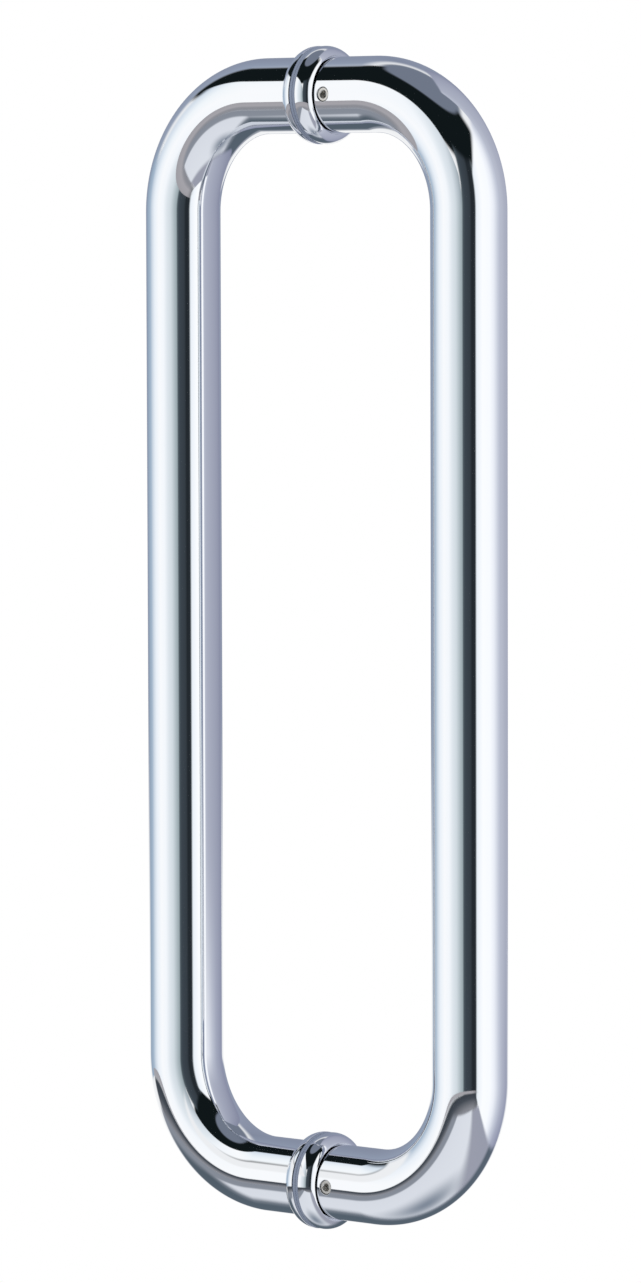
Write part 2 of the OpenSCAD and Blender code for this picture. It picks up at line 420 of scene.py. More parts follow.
def cold_formed_stainless(finish):
    """Set screws of stainless steel, headed, broached and thread-rolled. They are duller than the tube,
    with a slightly uneven satin grain, and brown-grey where the broach left its lubricant."""
    material, tree = new_material("cold_formed_stainless")
    place = add(tree, "ShaderNodeTexCoord")
    # Grain of about 0.25 mm
    grain = add(tree, "ShaderNodeTexNoise", {"Scale": per_mm(0.25), "Detail": 3}, {"Vector": place["Object"]})
    stains = add(tree, "ShaderNodeTexNoise", {"Scale": per_mm(2), "Detail": 2}, {"Vector": place["Object"]})
    colour = add(tree, "ShaderNodeMix", {"A": (*finish.screw_colour, 1), "B": (*linear("#C4C0B8"), 1)},
                 {"Factor": stains["Fac"]}, data_type="RGBA")
    roughness = add(tree, "ShaderNodeMapRange", {"To Min": 0.22, "To Max": 0.42}, {"Value": grain["Fac"]})
    relief = add(tree, "ShaderNodeBump", {"Strength": 1, "Distance": 0.000005}, {"Height": grain["Fac"]})
    shader = add(tree, "ShaderNodeBsdfPrincipled", {"Metallic": 1.0}, {
        "Base Color": colour["Result"], "Roughness": roughness["Result"], "Normal": relief["Normal"]})
    add(tree, "ShaderNodeOutputMaterial", links={"Surface": shader["BSDF"]})
    return material


def moulded_soft_pvc(finish):
    """Gaskets moulded in soft PVC. They look satin and a little rubbery, with the fine spark-eroded grain of
    the mould and a faint cloudiness in the grey-blue colour."""
    material, tree = new_material("moulded_soft_pvc")
    place = add(tree, "ShaderNodeTexCoord")
    # Mould grain of 0.3 mm, about twice the real size so that it shows
    grain = add(tree, "ShaderNodeTexNoise", {"Scale": per_mm(0.3), "Detail": 2}, {"Vector": place["Object"]})
    clouds = add(tree, "ShaderNodeTexNoise", {"Scale": per_mm(6), "Detail": 2}, {"Vector": place["Object"]})
    colour = add(tree, "ShaderNodeMix", {"A": (*finish.gasket_colour, 1), "B": (*linear("#7B869C"), 1)},
                 {"Factor": clouds["Fac"]}, data_type="RGBA")
    roughness = add(tree, "ShaderNodeMapRange", {"To Min": 0.38, "To Max": 0.55}, {"Value": grain["Fac"]})
    relief = add(tree, "ShaderNodeBump", {"Strength": 1, "Distance": 0.00001}, {"Height": grain["Fac"]})
    shader = add(tree, "ShaderNodeBsdfPrincipled", {"IOR": 1.53}, {
        "Base Color": colour["Result"], "Roughness": roughness["Result"], "Normal": relief["Normal"]})
    add(tree, "ShaderNodeOutputMaterial", links={"Surface": shader["BSDF"]})
    return material


def moulded_nylon(finish):
    """Sleeves moulded in natural nylon, a warm milky white that takes in a little light, with a fine grain."""
    material, tree = new_material("moulded_nylon")
    place = add(tree, "ShaderNodeTexCoord")
    # Mould grain of 0.4 mm
    grain = add(tree, "ShaderNodeTexNoise", {"Scale": per_mm(0.4), "Detail": 2}, {"Vector": place["Object"]})
    clouds = add(tree, "ShaderNodeTexNoise", {"Scale": per_mm(4), "Detail": 1}, {"Vector": place["Object"]})
    colour = add(tree, "ShaderNodeMix", {"A": (*finish.sleeve_colour, 1), "B": (*linear("#E4E2D6"), 1)},
                 {"Factor": clouds["Fac"]}, data_type="RGBA")
    roughness = add(tree, "ShaderNodeMapRange", {"To Min": 0.32, "To Max": 0.46}, {"Value": grain["Fac"]})
    relief = add(tree, "ShaderNodeBump", {"Strength": 1, "Distance": 0.000006}, {"Height": grain["Fac"]})
    shader = add(tree, "ShaderNodeBsdfPrincipled", {
        "IOR": 1.53, "Subsurface Weight": 0.15, "Subsurface Radius": (0.002, 0.0018, 0.0015),
        "Subsurface Scale": 1,
    }, {"Base Color": colour["Result"], "Roughness": roughness["Result"], "Normal": relief["Normal"]})
    add(tree, "ShaderNodeOutputMaterial", links={"Surface": shader["BSDF"]})
    return material


class TubeSection:
    """One surface of a handle's tube: its outside or its bore."""

    def __init__(self, radius, side, faces_out):
        self.radius = radius
        self.side = side
        self.facing = 1 if faces_out else -1

    def at(self, station, angle):
        """Corner at an angle round the tube, where 0 faces -Y and a quarter turn faces away from the gap."""
        centre_x, centre_z, out_x, out_z, distance = station
        level, outward = -math.cos(angle), math.sin(angle)
        place = (
            self.side * (centre_x + self.radius * outward * out_x),
            self.radius * level,
            centre_z + self.radius * outward * out_z,
        )
        normal = (
            self.facing * self.side * outward * out_x, self.facing * level, self.facing * outward * out_z)
        return place, normal, (distance, self.radius * angle)


def leg_stations(level, places, start_distance):
    """Stations along a straight leg: centre, outward direction and distance along the tube."""
    return [(x, level * FIXING_Z, 0, level, start_distance + level * (places[0] - x)) for x in places]


def bend_stations(sizes, level, steps, start_distance):
    """Stations round a bend, from the leg's end to the grip's."""
    centre_x, centre_z = GRIP_X - sizes.bend_radius, level * (FIXING_Z - sizes.bend_radius)
    stations = []
    for angle in spread(0, math.pi / 2, steps):
        out_x, out_z = math.sin(angle), level * math.cos(angle)
        stations.append((
            centre_x + sizes.bend_radius * out_x, centre_z + sizes.bend_radius * out_z, out_x, out_z,
            start_distance - level * sizes.bend_radius * angle))
    return stations


BEND_STEPS = 48
ROUND_STEPS = 144
HOLE_CELLS = 16
# How far the patch of finer mesh round a set screw's hole reaches along the leg, to each side
HOLE_PATCH = 0.005


def handle_stations(sizes):
    """Stations from the bottom leg's end to the top one's. The grip's middle is at distance 0."""
    bend_x = GRIP_X - sizes.bend_radius
    half_grip = FIXING_Z - sizes.bend_radius
    bend_length = sizes.bend_radius * math.pi / 2
    patch = spread(SCREW_X - HOLE_PATCH, SCREW_X + HOLE_PATCH, HOLE_CELLS)
    leg = [LEG_START] + patch + spread(SCREW_X + HOLE_PATCH, bend_x, 6)[1:]
    leg_length = bend_x - LEG_START
    run = half_grip + bend_length + leg_length
    top = leg_stations(1, leg, run) + bend_stations(sizes, 1, BEND_STEPS, half_grip + bend_length)[1:]
    bottom = leg_stations(-1, leg, -run) + bend_stations(sizes, -1, BEND_STEPS, -half_grip - bend_length)[1:]
    grip = [(GRIP_X, z, 1, 0, z) for z in spread(-half_grip, half_grip, 12)[1:-1]]
    return bottom + grip + top[::-1]


def hole_rings(sizes, section, level, angles, distance_at):
    """Rings of corners on a leg's surface, from the border of the patch in to the edge of the screw's hole."""
    radius = section.radius
    border = []
    low, high = -HOLE_PATCH, HOLE_PATCH
    rises = [radius * math.sin(angle) for angle in angles]
    steps = spread(low, high, HOLE_CELLS)
    border += [(x, rises[0]) for x in steps[:-1]]
    border += [(high, rise) for rise in rises[:-1]]
    border += [(x, rises[-1]) for x in reversed(steps[1:])]
    border += [(low, rise) for rise in reversed(rises[1:])]
    hole = SCREW_RADIUS + sizes.screw_clearance

    def on_tube(x, rise, normal=None):
        depth = math.sqrt(radius * radius - rise * rise)
        place = (section.side * (SCREW_X + x), -depth, level * (FIXING_Z + rise))
        outward = (0, -section.facing * depth / radius, section.facing * level * rise / radius)
        return place, normal or outward, (distance_at(SCREW_X + x), radius * math.asin(rise / radius))

    def ring(edge, share):
        corners = []
        for x, rise in border:
            far = math.hypot(x, rise)
            reach = edge + (far - edge) * share
            corners.append(on_tube(x / far * reach, rise / far * reach))
        return corners + corners[:1]

    return hole, border, on_tube, ring


def make_tube(side_name, sizes, material):
    """Bent tube with its wall, its open ends and, on the inside handle, the holes for its set screws."""
    side = SIDES[side_name]
    skin = Skin()
    stations = handle_stations(sizes)
    angles = spread(-math.pi, math.pi, ROUND_STEPS)
    patch_start = ROUND_STEPS // 2 - HOLE_CELLS // 2
    patch_angles = angles[patch_start : patch_start + HOLE_CELLS + 1]
    leg_rows = range(1, 1 + HOLE_CELLS)
    last = len(stations) - 2
    outer = TubeSection(TUBE_RADIUS, side, True)
    bore = TubeSection(TUBE_RADIUS - sizes.tube_wall, side, False)

    def in_hole_patch(row, column):
        on_leg = row in leg_rows or last - row in leg_rows
        return side_name == "inside" and on_leg and patch_start <= column < patch_start + HOLE_CELLS

    for section in (outer, bore):
        skin.grid([[section.at(station, angle) for angle in angles] for station in stations], in_hole_patch)
    for station in (stations[0], stations[-1]):
        end = (-side, 0, 0)
        rims = [[(section.at(station, angle)[0], end, (0, 0)) for angle in angles] for section in (outer, bore)]
        skin.grid(rims)
    if side_name == "inside":
        for level in LEVELS.values():
            drill_hole(skin, sizes, outer, bore, level, patch_angles, stations)
    node = side_name + "_handle_tube"
    return skin.piece(side_name + "_bent_tube", material, "polished_tube", node)


def drill_hole(skin, sizes, outer, bore, level, angles, stations):
    """Fills a leg's patch round the set screw's hole: the surface, the rounded edge, the wall and the bore."""
    end = stations[-1] if level == 1 else stations[0]

    def distance_at(x):
        return end[4] - level * (x - end[0])

    hole, border, _, ring = hole_rings(sizes, outer, level, angles, distance_at)
    rounding = sizes.hole_rounding
    surface = [ring(hole + rounding, share) for share in (1, 0.6, 0.3, 0.1, 0)]
    skin.grid(surface)
    _, bore_border, bore_at, bore_ring = hole_rings(sizes, bore, level, angles, distance_at)
    bore_surface = [bore_ring(hole, share) for share in (1, 0.6, 0.3, 0)]
    skin.grid(bore_surface)
    rows = []
    for turn in spread(0, math.pi / 2, 4):
        inward, sunk = rounding * math.sin(turn), rounding * (1 - math.cos(turn))
        rows.append([edge_corner(outer, level, x, rise, hole + rounding - inward, sunk, turn, distance_at)
                     for x, rise in border + border[:1]])
    wall = []
    for x, rise in bore_border + bore_border[:1]:
        far = math.hypot(x, rise)
        place, _, uv = bore_at(x / far * hole, rise / far * hole)
        wall.append((place, (-outer.side * x / far, 0, -level * rise / far), uv))
    skin.grid(rows)
    skin.grid([rows[-1], wall])


def edge_corner(section, level, x, rise, reach, sunk, turn, distance_at):
    """Corner on the rounded edge of a hole: turn goes from the tube's surface, at 0, to the hole's wall."""
    far = math.hypot(x, rise)
    along, up = x / far, rise / far
    radius = section.radius
    depth = math.sqrt(radius * radius - (up * reach) ** 2)
    place = (section.side * (SCREW_X + along * reach), -depth + sunk, level * (FIXING_Z + up * reach))
    outward = Vector((0, -depth / radius, level * up * reach / radius))
    inward = Vector((-section.side * along, 0, -level * up))
    normal = (outward * math.cos(turn) + inward * math.sin(turn)).normalized()
    return place, tuple(normal), (distance_at(SCREW_X + along * reach), radius * math.asin(up * reach / radius))


def collar_outline(sizes):
    """Half section of a dished collar: distance from the door's middle, and radius."""
    base, mouth = COLLAR_LOW.x, COLLAR_HIGH.x
    rim = COLLAR_RADIUS
    bore = SLEEVE_RADIUS + sizes.screw_clearance
    seat = TUBE_RADIUS + sizes.metal_fit
    gap = TUBE_RADIUS + sizes.mouth_gap
    lip = gap + sizes.mouth_lip
    start = base + sizes.rim_band
    rise, run = mouth - start, rim - lip
    dome = (rise * rise + run * run) / (2 * run)
    sweep = math.asin(rise / dome)
    edge = 0.00005
    outline = [(base, rim - sizes.rim_bevel), (base + sizes.rim_bevel, rim)]
    for angle in spread(0, sweep, 28):
        outline.append((start + dome * math.sin(angle), rim - dome + dome * math.cos(angle)))
    # the lip's sharp edge is broken by a hair's breadth, so the last point of the arc gives way to two
    tip = outline.pop()
    outline.append((tip[0] - edge, tip[1] + edge / 2))
    outline.append((mouth, lip - edge))
    outline.append((mouth, gap + edge))
    outline.append((mouth - edge, gap))
    outline.append((mouth - sizes.mouth_gap_depth, gap))
    outline.append((mouth - sizes.mouth_gap_depth, seat))
    outline.append((base + sizes.collar_web, seat))
    outline.append((base + sizes.collar_web, bore))
    outline.append((base, bore))
    return outline


def gasket_outline(sizes):
    """Half section of a flat gasket with soft outer edges."""
    near, far = GASKET_LOW.x, GASKET_HIGH.x
    rim = GASKET_RADIUS
    bore = SLEEVE_RADIUS + sizes.screw_clearance
    soft = sizes.gasket_rounding
    return rounded(((near, bore, 0), (near, rim, soft), (far, rim, soft), (far, bore, 0)))


def rod_skin(rows, steps, to_place):
    """Joins rows of (along, radius) per angle into faces, places them and drops the ones that have shrunk away."""
    places, found, faces = [], {}, []

    def corner(along, radius, k):
        place = to_place(along, radius, math.tau * k / steps)
        key = tuple(round(c / SAME_PLACE) for c in place)
        if key not in found:
            found[key] = len(places)
            places.append(place)
        return found[key]

    for j in range(len(rows) - 1):
        for k in range(steps):
            lower, upper = rows[j], rows[j + 1]
            ring = [corner(*lower[k], k), corner(*lower[k + 1], k + 1), corner(*upper[k + 1], k + 1),
                    corner(*upper[k], k)]
            kept = [c for i, c in enumerate(ring) if c not in ring[:i]]
            if len(kept) > 2:
                faces.append(kept)
    return places, faces


def thread_rows(start, end, pitch, radius, limit, steps):
    """Rows of a thread along a rod. Each row climbs by one pitch in a turn, and limit(along) caps the radius."""
    # A metric thread is 0.6134 of its pitch deep, with a flat crest and a flat root
    depth = 0.6134 * pitch
    profile = ((0, 0), (0.125, 0), (0.28, 0.45), (0.4375, 1), (0.6875, 1), (0.845, 0.45))
    turns = math.ceil((end - start) / pitch) + 1
    rows = []
    for turn in range(-1, turns):
        for share, sunk in profile:
            row = []
            for k in range(steps + 1):
                along = start + pitch * (turn + share + k / steps)
                cut = radius - depth * sunk
                if along <= start:
                    along, cut = start, limit(start)
                if along >= end:
                    along, cut = end, limit(end)
                row.append((along, min(cut, limit(along))))
            rows.append(row)
    rows.append([(end, limit(end))] * (steps + 1))
    return rows


def ring_rows(points, steps):
    """Rows of plain rings at (along, radius) points."""
    return [[point] * (steps + 1) for point in points]


def rod_piece(name, rows, steps, to_place, material, node):
    """Makes a turned or threaded rod from its rows."""
    places, faces = rod_skin(rows, steps, to_place)
    mesh = bpy.data.meshes.new(name)
    mesh.from_pydata(places, [], faces)
    mesh.polygons.foreach_set("use_smooth", [True] * len(mesh.polygons))
    mesh.validate()
    mesh.set_sharp_from_angle(angle=math.radians(25))
    return settle(name, mesh, material, (node,))


def make_set_screw(level_name, sizes, material):
    """Socket set screw: rolled thread, cone point, and a hexagon socket with a coned mouth and a drilled end."""
    level = LEVELS[level_name]
    steps = 48
    radius = SCREW_RADIUS
    head, tip = -SCREW_LOW.y, -SCREW_HIGH.y
    point = sizes.screw_point / 2
    chamfer = 0.35 * sizes.screw_pitch
    face_radius = radius - chamfer

    def limit(along):
        return min(point + along - tip, face_radius + head - along)

    def hexagon(k):
        """Distance from the axis to the socket's wall."""
        within = (math.tau * k / steps) % (math.pi / 3) - math.pi / 6
        return sizes.socket_across / 2 / math.cos(within)

    corner_radius = sizes.socket_across / 2 / math.cos(math.pi / 6)
    mouth = corner_radius + 0.00012
    floor = head - sizes.socket_depth
    drill = 0.42 * sizes.socket_across
    rows = ring_rows([(tip, 0)], steps)
    rows += thread_rows(tip, head, sizes.screw_pitch, radius, limit, steps)
    rows += ring_rows([(head, mouth)], steps)
    # the coned mouth cuts deepest into the middles of the flats
    rows.append([(head - (mouth - hexagon(k)), hexagon(k)) for k in range(steps + 1)])
    rows.append([(floor, hexagon(k)) for k in range(steps + 1)])
    rows += ring_rows([(floor, drill), (floor - drill * 0.58, 0)], steps)

    def to_place(along, out, angle):
        return (SCREW_X + out * math.cos(angle), -along, level * FIXING_Z + out * math.sin(angle))

    return rod_piece(level_name + "_socket_screw", rows, steps, to_place, material,
                     level_name + "_set_screw")


def make_stud(level_name, sizes, material):
    """Through stud: threaded where it screws into the outside plug, plain after it, and grooved for the screw."""
    level = LEVELS[level_name]
    steps = 64
    radius = STUD_RADIUS
    groove = sizes.groove_width / 2
    start, end = STUD_LOW.x, STUD_HIGH.x
    bevel = 0.001
    half_floor = sizes.screw_point / 2 + sizes.metal_fit
    half_groove = half_floor + radius - groove
    # the thread stops where the outside plug does
    thread_end = -LEG_START - 0.0005

    def limit(along):
        return min(radius, radius - bevel + along - start)

    rows = ring_rows([(start, 0)], steps)
    rows += thread_rows(start, thread_end, sizes.stud_pitch, radius, limit, steps)
    rows += ring_rows([
        (SCREW_X - half_groove, radius), (SCREW_X - half_floor, groove), (SCREW_X + half_floor, groove),
        (SCREW_X + half_groove, radius), (end - bevel, radius), (end, radius - bevel), (end, 0)], steps)

    def to_place(along, out, angle):
        return (along, out * math.cos(angle), level * FIXING_Z + out * math.sin(angle))

    return rod_piece(level_name + "_threaded_stud", rows, steps, to_place, material,
                     level_name + "_stud")


def toward(azimuth):
    """The level direction that lies at this azimuth: 0 is -Y, where a camera that looks along +Y stands."""
    return Vector((math.sin(azimuth), -math.cos(azimuth), 0))


def aim_camera(studio):
    """Puts the camera at the photograph's angle."""
    # small turns, in degrees, that bring the pull to its place in the picture
    yaw = studio.azimuth + math.radians(0.036)
    pitch = -studio.elevation - math.radians(0.007)
    roll = math.radians(-0.156)
    back = toward(studio.azimuth) * math.cos(studio.elevation) + Vector((0, 0, math.sin(studio.elevation)))
    forward = -toward(yaw) * math.cos(pitch) + Vector((0, 0, math.sin(pitch)))
    right = Vector((math.cos(yaw), math.sin(yaw), 0))
    up = right.cross(forward)
    rolled_right = right * math.cos(roll) + up * math.sin(roll)
    rolled_up = up * math.cos(roll) - right * math.sin(roll)
    data = bpy.data.cameras.new("camera")
    data.sensor_width = SENSOR_MM
    data.lens = studio.focal_pixels * SENSOR_MM / IMAGE_HEIGHT
    data.clip_end = 30
    camera = bpy.data.objects.new("camera", data)
    bpy.context.scene.collection.objects.link(camera)
    matrix = Matrix((rolled_right, rolled_up, -forward)).transposed().to_4x4()
    matrix.translation = back * studio.distance
    camera.matrix_world = matrix
    bpy.context.scene.camera = camera


def make_world(studio):
    """An even white studio. Rays from the camera or off metal see full white, and the rest bring the fill."""
    world = bpy.data.worlds.new("white_studio")
    bpy.context.scene.world = world
    world.use_nodes = True
    tree = world.node_tree
    tree.nodes.clear()
    path = add(tree, "ShaderNodeLightPath")
    seen = add(tree, "ShaderNodeMath", links={0: path["Is Camera Ray"], 1: path["Is Glossy Ray"]},
               operation="ADD")
    seen = add(tree, "ShaderNodeMath", links={0: seen["Value"], 1: path["Is Transmission Ray"]},
               operation="ADD", use_clamp=True)
    fill = add(tree, "ShaderNodeBackground", {"Color": (1, 1, 1, 1), "Strength": studio.fill})
    white = add(tree, "ShaderNodeBackground", {"Color": (1, 1, 1, 1), "Strength": 1.0})
    both = add(tree, "ShaderNodeMixShader",
               links={0: seen["Value"], 1: fill["Background"], 2: white["Background"]})
    add(tree, "ShaderNodeOutputWorld", links={"Surface": both["Shader"]})


def grid_mesh(name, surface, across, up):
    """Mesh of a surface(u, v), with u and v from 0 to 1 as its UV map."""
    mesh = bpy.data.meshes.new(name)
    row = across + 1
    mesh.from_pydata([surface(i / across, j / up) for j in range(up + 1) for i in range(row)], [], [
        (j * row + i, j * row + i + 1, (j + 1) * row + i + 1, (j + 1) * row + i)
        for j in range(up) for i in range(across)])
    layer = mesh.uv_layers.new(name="UVMap")
    for loop in mesh.loops:
        j, i = divmod(loop.vertex_index, row)
        layer.data[loop.index].uv = (i / across, j / up)
    return mesh


def edge_cover(tree, soft):
    """How solid a sheet is from 0 to 1, which falls off over these shares of it: left, right, bottom and top."""
    place = add(tree, "ShaderNodeTexCoord")
    parts = add(tree, "ShaderNodeSeparateXYZ", links={"Vector": place["UV"]})
    left, right, bottom, top = soft
    cover = None
    for axis, edge, inner in (("X", 0, left), ("X", 1, 1 - right), ("Y", 0, bottom), ("Y", 1, 1 - top)):
        if edge == inner:
            continue
        fade = add(tree, "ShaderNodeMapRange", {"From Min": edge, "From Max": inner}, {"Value": parts[axis]},
                   interpolation_type="SMOOTHSTEP")["Result"]
        if cover is not None:
            fade = add(tree, "ShaderNodeMath", links={0: cover, 1: fade}, operation="MULTIPLY")["Value"]
        cover = fade
    return parts, cover


def card(name, surface, stops, soft=(0, 0, 0, 0), level=1.0, upward=False, steps=(48, 12), one_sided=False):
    """A sheet that hangs in the studio and that only the metal's reflections show. Its colour runs through
    stops of (share, colour) from left to right, or upward, and it fades out at its soft edges."""
    paint, tree = new_material(name + "_paint")
    paint.cycles.emission_sampling = "NONE"
    parts, cover = edge_cover(tree, soft)
    ramp = tree.nodes.new("ShaderNodeValToRGB")
    tree.links.new(parts["Y" if upward else "X"], ramp.inputs["Fac"])
    ramp.color_ramp.elements.remove(ramp.color_ramp.elements[-1])
    for i, (share, colour) in enumerate(stops):
        element = ramp.color_ramp.elements[0] if i == 0 else ramp.color_ramp.elements.new(share)
        element.position = share
        element.color = (*linear(colour), 1)
    glow = add(tree, "ShaderNodeEmission", {"Strength": level}, {"Color": ramp.outputs["Color"]})["Emission"]
    clear = add(tree, "ShaderNodeBsdfTransparent")
    if cover is not None:
        glow = add(tree, "ShaderNodeMixShader", links={0: cover, 1: clear["BSDF"], 2: glow})["Shader"]
    if one_sided:
        back = add(tree, "ShaderNodeNewGeometry")["Backfacing"]
        glow = add(tree, "ShaderNodeMixShader", links={0: back, 1: glow, 2: clear["BSDF"]})["Shader"]
    add(tree, "ShaderNodeOutputMaterial", links={"Surface": glow})
    mesh = grid_mesh(name, surface, *steps)
    mesh.materials.append(paint)
    made = bpy.data.objects.new(name, mesh)
    bpy.context.scene.collection.objects.link(made)
    made.visible_camera = False
    made.visible_diffuse = False
    made.visible_transmission = False
    made.visible_shadow = False


def by_azimuth(start, end, *stops):
    """Turns stops at azimuths, in degrees from the camera's, into shares of a card from start to end."""
    return tuple(((azimuth - start) / (end - start), colour) for azimuth, colour in stops)


class Places:
    """Surfaces for cards, laid out round the pull. Azimuths are in degrees, and 0 is the camera's own."""

    def __init__(self, studio):
        self.azimuth = studio.azimuth
        self.floor = -studio.floor_drop

    def way(self, azimuth):
        """The level direction at an azimuth."""
        return toward(self.azimuth + math.radians(azimuth))

    def vault(self, radius, start, end, low, high):
        """Part of a sphere round the pull, between two azimuths and two elevations."""
        def surface(u, v):
            elevation = math.radians(low + (high - low) * v)
            side = self.way(start + (end - start) * u) * radius * math.cos(elevation)
            return (side.x, side.y, radius * math.sin(elevation))
        return surface

    def wall(self, distance, facing, start, end, low, high_start, high_end):
        """A flat upright wall. It is nearest at azimuth facing, and its top edge climbs from start to end."""
        def surface(u, v):
            azimuth = start + (end - start) * u
            side = self.way(azimuth) * distance / math.cos(math.radians(azimuth - facing))
            high = high_start + (high_end - high_start) * u * u
            return (side.x, side.y, low + (high - low) * v)
        return surface

    def slope(self, start, end, near, far, top, fall):
        """A sheet that slopes down and away between two azimuths, from a height on the pull's own axis."""
        def surface(u, v):
            reach = near + (far - near) * v
            side = self.way(start + (end - start) * u) * reach
            return (side.x, side.y, top - reach * fall)
        return surface

    def sheet(self, left, right, back, front, above):
        """A level sheet just above the floor. Its sides are given to the right of the pull and ahead of it."""
        ahead, across = self.way(0), self.way(90)

        def surface(u, v):
            side = across * (left + (right - left) * u) + ahead * (back + (front - back) * v)
            return (side.x, side.y, self.floor + above)
        return surface


def hang_cards(studio):
    """Dark ceiling, bright walls, black flag, papered floor and painted shade on that floor and at the walls'
    foot, which draw the light and dark bands that polished tube shows. Far cards come first, and each nearer one
    covers those behind it."""
    places = Places(studio)
    card("overhead", places.vault(6.0, -180, 180, 58, 90), ((0, "#788090"), (1, "#788090")),
         soft=(0, 0, 0.2, 0), steps=(72, 8))
    card("back_wall", places.vault(5.8, 120, 240, -8, 62),
         by_azimuth(120, 240, (120, "#A4ABC0"), (180, "#8C94A8"), (240, "#A4B0C4")), soft=(0.15, 0.15, 0.05, 0.2))
    card("ceiling", places.vault(5.6, -140, 80, 24, 67), ((0, "#12191B"), (1, "#12191B")),
         soft=(0.05, 0.1, 0.1, 0.1), steps=(60, 12))
    card("left_wall", places.vault(5.5, -155, -15, -13, 14),
         by_azimuth(-155, -15, (-155, "#8496AA"), (-125, "#A8BACC"), (-112, "#D6DFE8"), (-100, "#F0F5FA"),
                    (-82, "#FFFFFF"), (-65, "#FAFCFE"), (-52, "#E4EAEE"), (-40, "#D6DEE2"), (-27, "#AEBABE"),
                    (-15, "#8A989C")),
         soft=(0.08, 0.03, 0.02, 0.2), level=1.12, steps=(60, 8))
    card("flag", places.vault(5.4, -22, 27, -28, 34),
         by_azimuth(-22, 27, (-22, "#59666C"), (-12, "#414A52"), (2, "#3A4249"), (8, "#262C31"),
                    (17, "#2A3036"), (27, "#8A9296")),
         soft=(0.1, 0.1, 0.12, 0.1), steps=(24, 20))
    # painted shade: the dark band near the top of this strip stands for the shaded joint where the walls meet the
    # floor
    card("gap", places.vault(5.0, -135, 34, -30, -12),
         ((0, "#9C9CA2"), (0.5, "#8F9096"), (0.78, "#4C525A"), (0.9, "#3E444C"), (1, "#5A6068")),
         soft=(0.05, 0.15, 0.05, 0.1), upward=True, steps=(60, 8))
    # this one is edge-on from the bottom legs, so only the top ones show it
    card("grey_slope", places.slope(30, -135, 1.2, 4.7, -FIXING_Z, 0.16), ((0, "#B4B1B5"), (1, "#A9A6AA")),
         soft=(0.15, 0.05, 0.2, 0.04), upward=True, steps=(60, 8), one_sided=True)
    card("right_wall", places.wall(1.0, 90, 17, 155, -0.95, 1.5, 1.5),
         by_azimuth(17, 155, (17, "#D8E0E4"), (24, "#F0F4F8"), (40, "#FFFFFF"), (62, "#FCFDFF"), (75, "#EEF0F6"),
                    (91, "#CACEDA"), (110, "#A8ACBE"), (135, "#9296AC"), (155, "#8C90A6")),
         soft=(0.04, 0.1, 0.04, 0.12), level=1.15, steps=(60, 12))
    card("left_softbox", places.wall(0.85, -98, -125, -19, 0.2, 0.72, 1.22),
         by_azimuth(-125, -19, (-125, "#B8C6D6"), (-110, "#DCE5EE"), (-95, "#F6FAFC"), (-82, "#FFFFFF"),
                    (-65, "#FAFCFE"), (-52, "#E6ECF0"), (-40, "#DAE1E6"), (-27, "#B4BEC4"), (-19, "#8A969C")),
         soft=(0.15, 0.04, 0.25, 0.06), level=1.12, steps=(60, 8))
    card("floor_sheet", places.sheet(-2.2, 2.2, -2.2, 2.2, 0.004),
         ((0, "#8D929C"), (0.5, "#9AA0AA"), (0.62, "#A6A8B6"), (1, "#A0A4B4")), soft=(0.1, 0.1, 0.1, 0.1))
    # painted shadow: a dark slate sheet on the floor behind the pull, where the floor lies in shade
    card("back_shade", places.sheet(-1.6, 1.6, -1.7, -0.2, 0.008), ((0, "#56626C"), (1, "#5F6B78")),
         soft=(0.2, 0.2, 0.2, 0.25))
    card("white_paper", places.sheet(-1.3, 0.5, -0.4, 2.1, 0.012), ((0, "#E6E9F0"), (1, "#EDF0F6")),
         soft=(0.12, 0.15, 0.08, 0.08))
    # painted shadow: a soft grey spot on the white paper right under the pull, for the pull's own shadow
    card("pull_shade", places.sheet(-0.5, 0.5, -0.5, 0.5, 0.016), ((0, "#8A94A2"), (1, "#8A94A2")),
         soft=(0.5, 0.5, 0.5, 0.5))
    near = places.way(90) * 0.124
    ahead = places.way(0)

    def near_board(u, v):
        side = near + ahead * (0.048 - 0.348 * u)
        return (side.x, side.y, -0.26 + 0.86 * v)

    card("near_board", near_board, ((0, "#C8CCDA"), (0.1, "#B8BCCC"), (0.3, "#AEB2C4"), (1, "#8A8EA6")),
         soft=(0.02, 0.1, 0.2, 0.1), steps=(4, 4))


def lay_floor(studio):
    """A pale painted floor that keeps the pull's soft shadow and melts into the white round it."""
    paint, tree = new_material("pale_floor_paint")
    place = add(tree, "ShaderNodeTexCoord")
    # Roller texture of 3 mm in the paint
    grain = add(tree, "ShaderNodeTexNoise", {"Scale": per_mm(3), "Detail": 2}, {"Vector": place["Object"]})
    relief = add(tree, "ShaderNodeBump", {"Strength": 1, "Distance": 0.0002}, {"Height": grain["Fac"]})
    shader = add(tree, "ShaderNodeBsdfPrincipled", {"Base Color": (*studio.floor_colour, 1), "Roughness": 0.7},
                 {"Normal": relief["Normal"]})
    _, cover = edge_cover(tree, (0, 0, 0, 0.45))
    clear = add(tree, "ShaderNodeBsdfTransparent")
    both = add(tree, "ShaderNodeMixShader", links={0: cover, 1: clear["BSDF"], 2: shader["BSDF"]})
    add(tree, "ShaderNodeOutputMaterial", links={"Surface": both["Shader"]})
    reach = 2.2

    def disc(u, v):
        side = toward(math.tau * u) * reach * v
        return (side.x, side.y, -studio.floor_drop)

    mesh = grid_mesh("floor", disc, 72, 8)
    mesh.materials.append(paint)
    floor = bpy.data.objects.new("floor", mesh)
    bpy.context.scene.collection.objects.link(floor)


